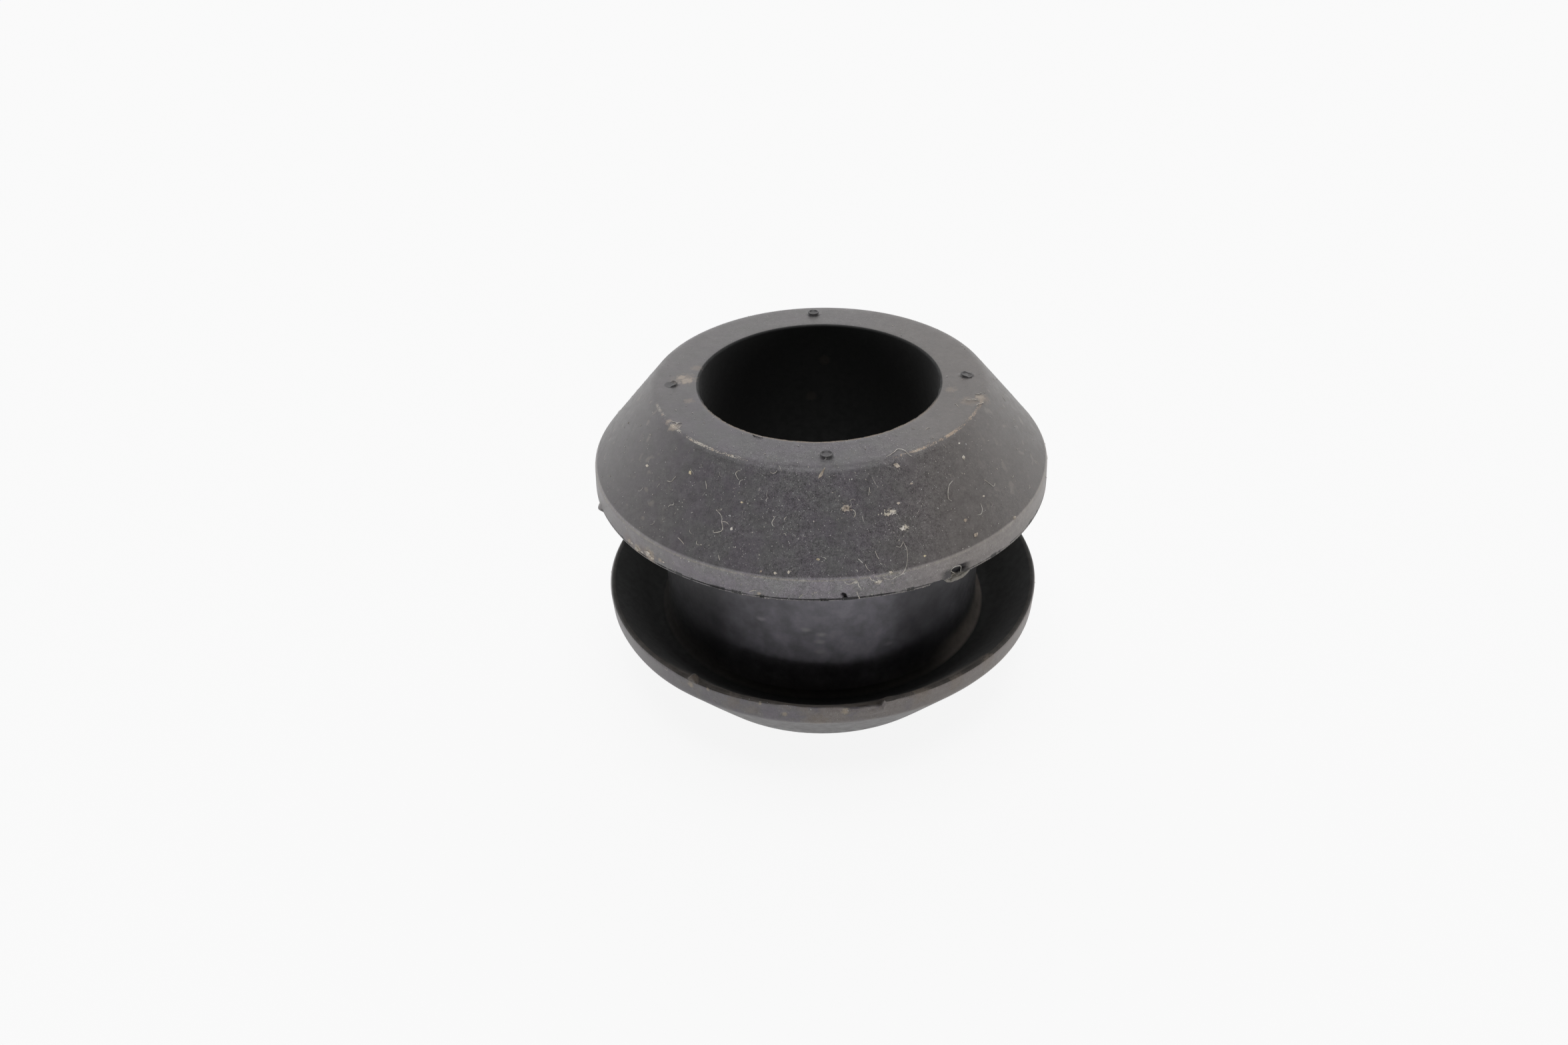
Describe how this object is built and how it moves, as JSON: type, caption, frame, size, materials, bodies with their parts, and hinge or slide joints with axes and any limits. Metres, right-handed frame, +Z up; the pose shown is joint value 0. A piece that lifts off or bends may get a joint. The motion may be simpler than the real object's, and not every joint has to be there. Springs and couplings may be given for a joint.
{
  "type": "rubber grommet",
  "caption": "Black rubber grommet: a short sleeve with a wide through bore and a cupped flange at each end, with a groove between the lips that seats on the edge of a panel hole.",
  "frame": {"origin": "centre of the base, on the bore axis, in the plane of the lower hub face", "axes": "+Z up along the bore, from the base to the top hub face; -Y towards the side with the lip nick and the torn gate"},
  "size_m": [0.03, 0.03, 0.0213],
  "materials": {
    "rubber": "matt moulded rubber, dusty, with pale scuffs along the edges",
    "lint": "pale dust and fibres caught on the rubber"
  },
  "bodies": {
    "root": {"grommet": "rubber"}
  },
  "joints": []
}
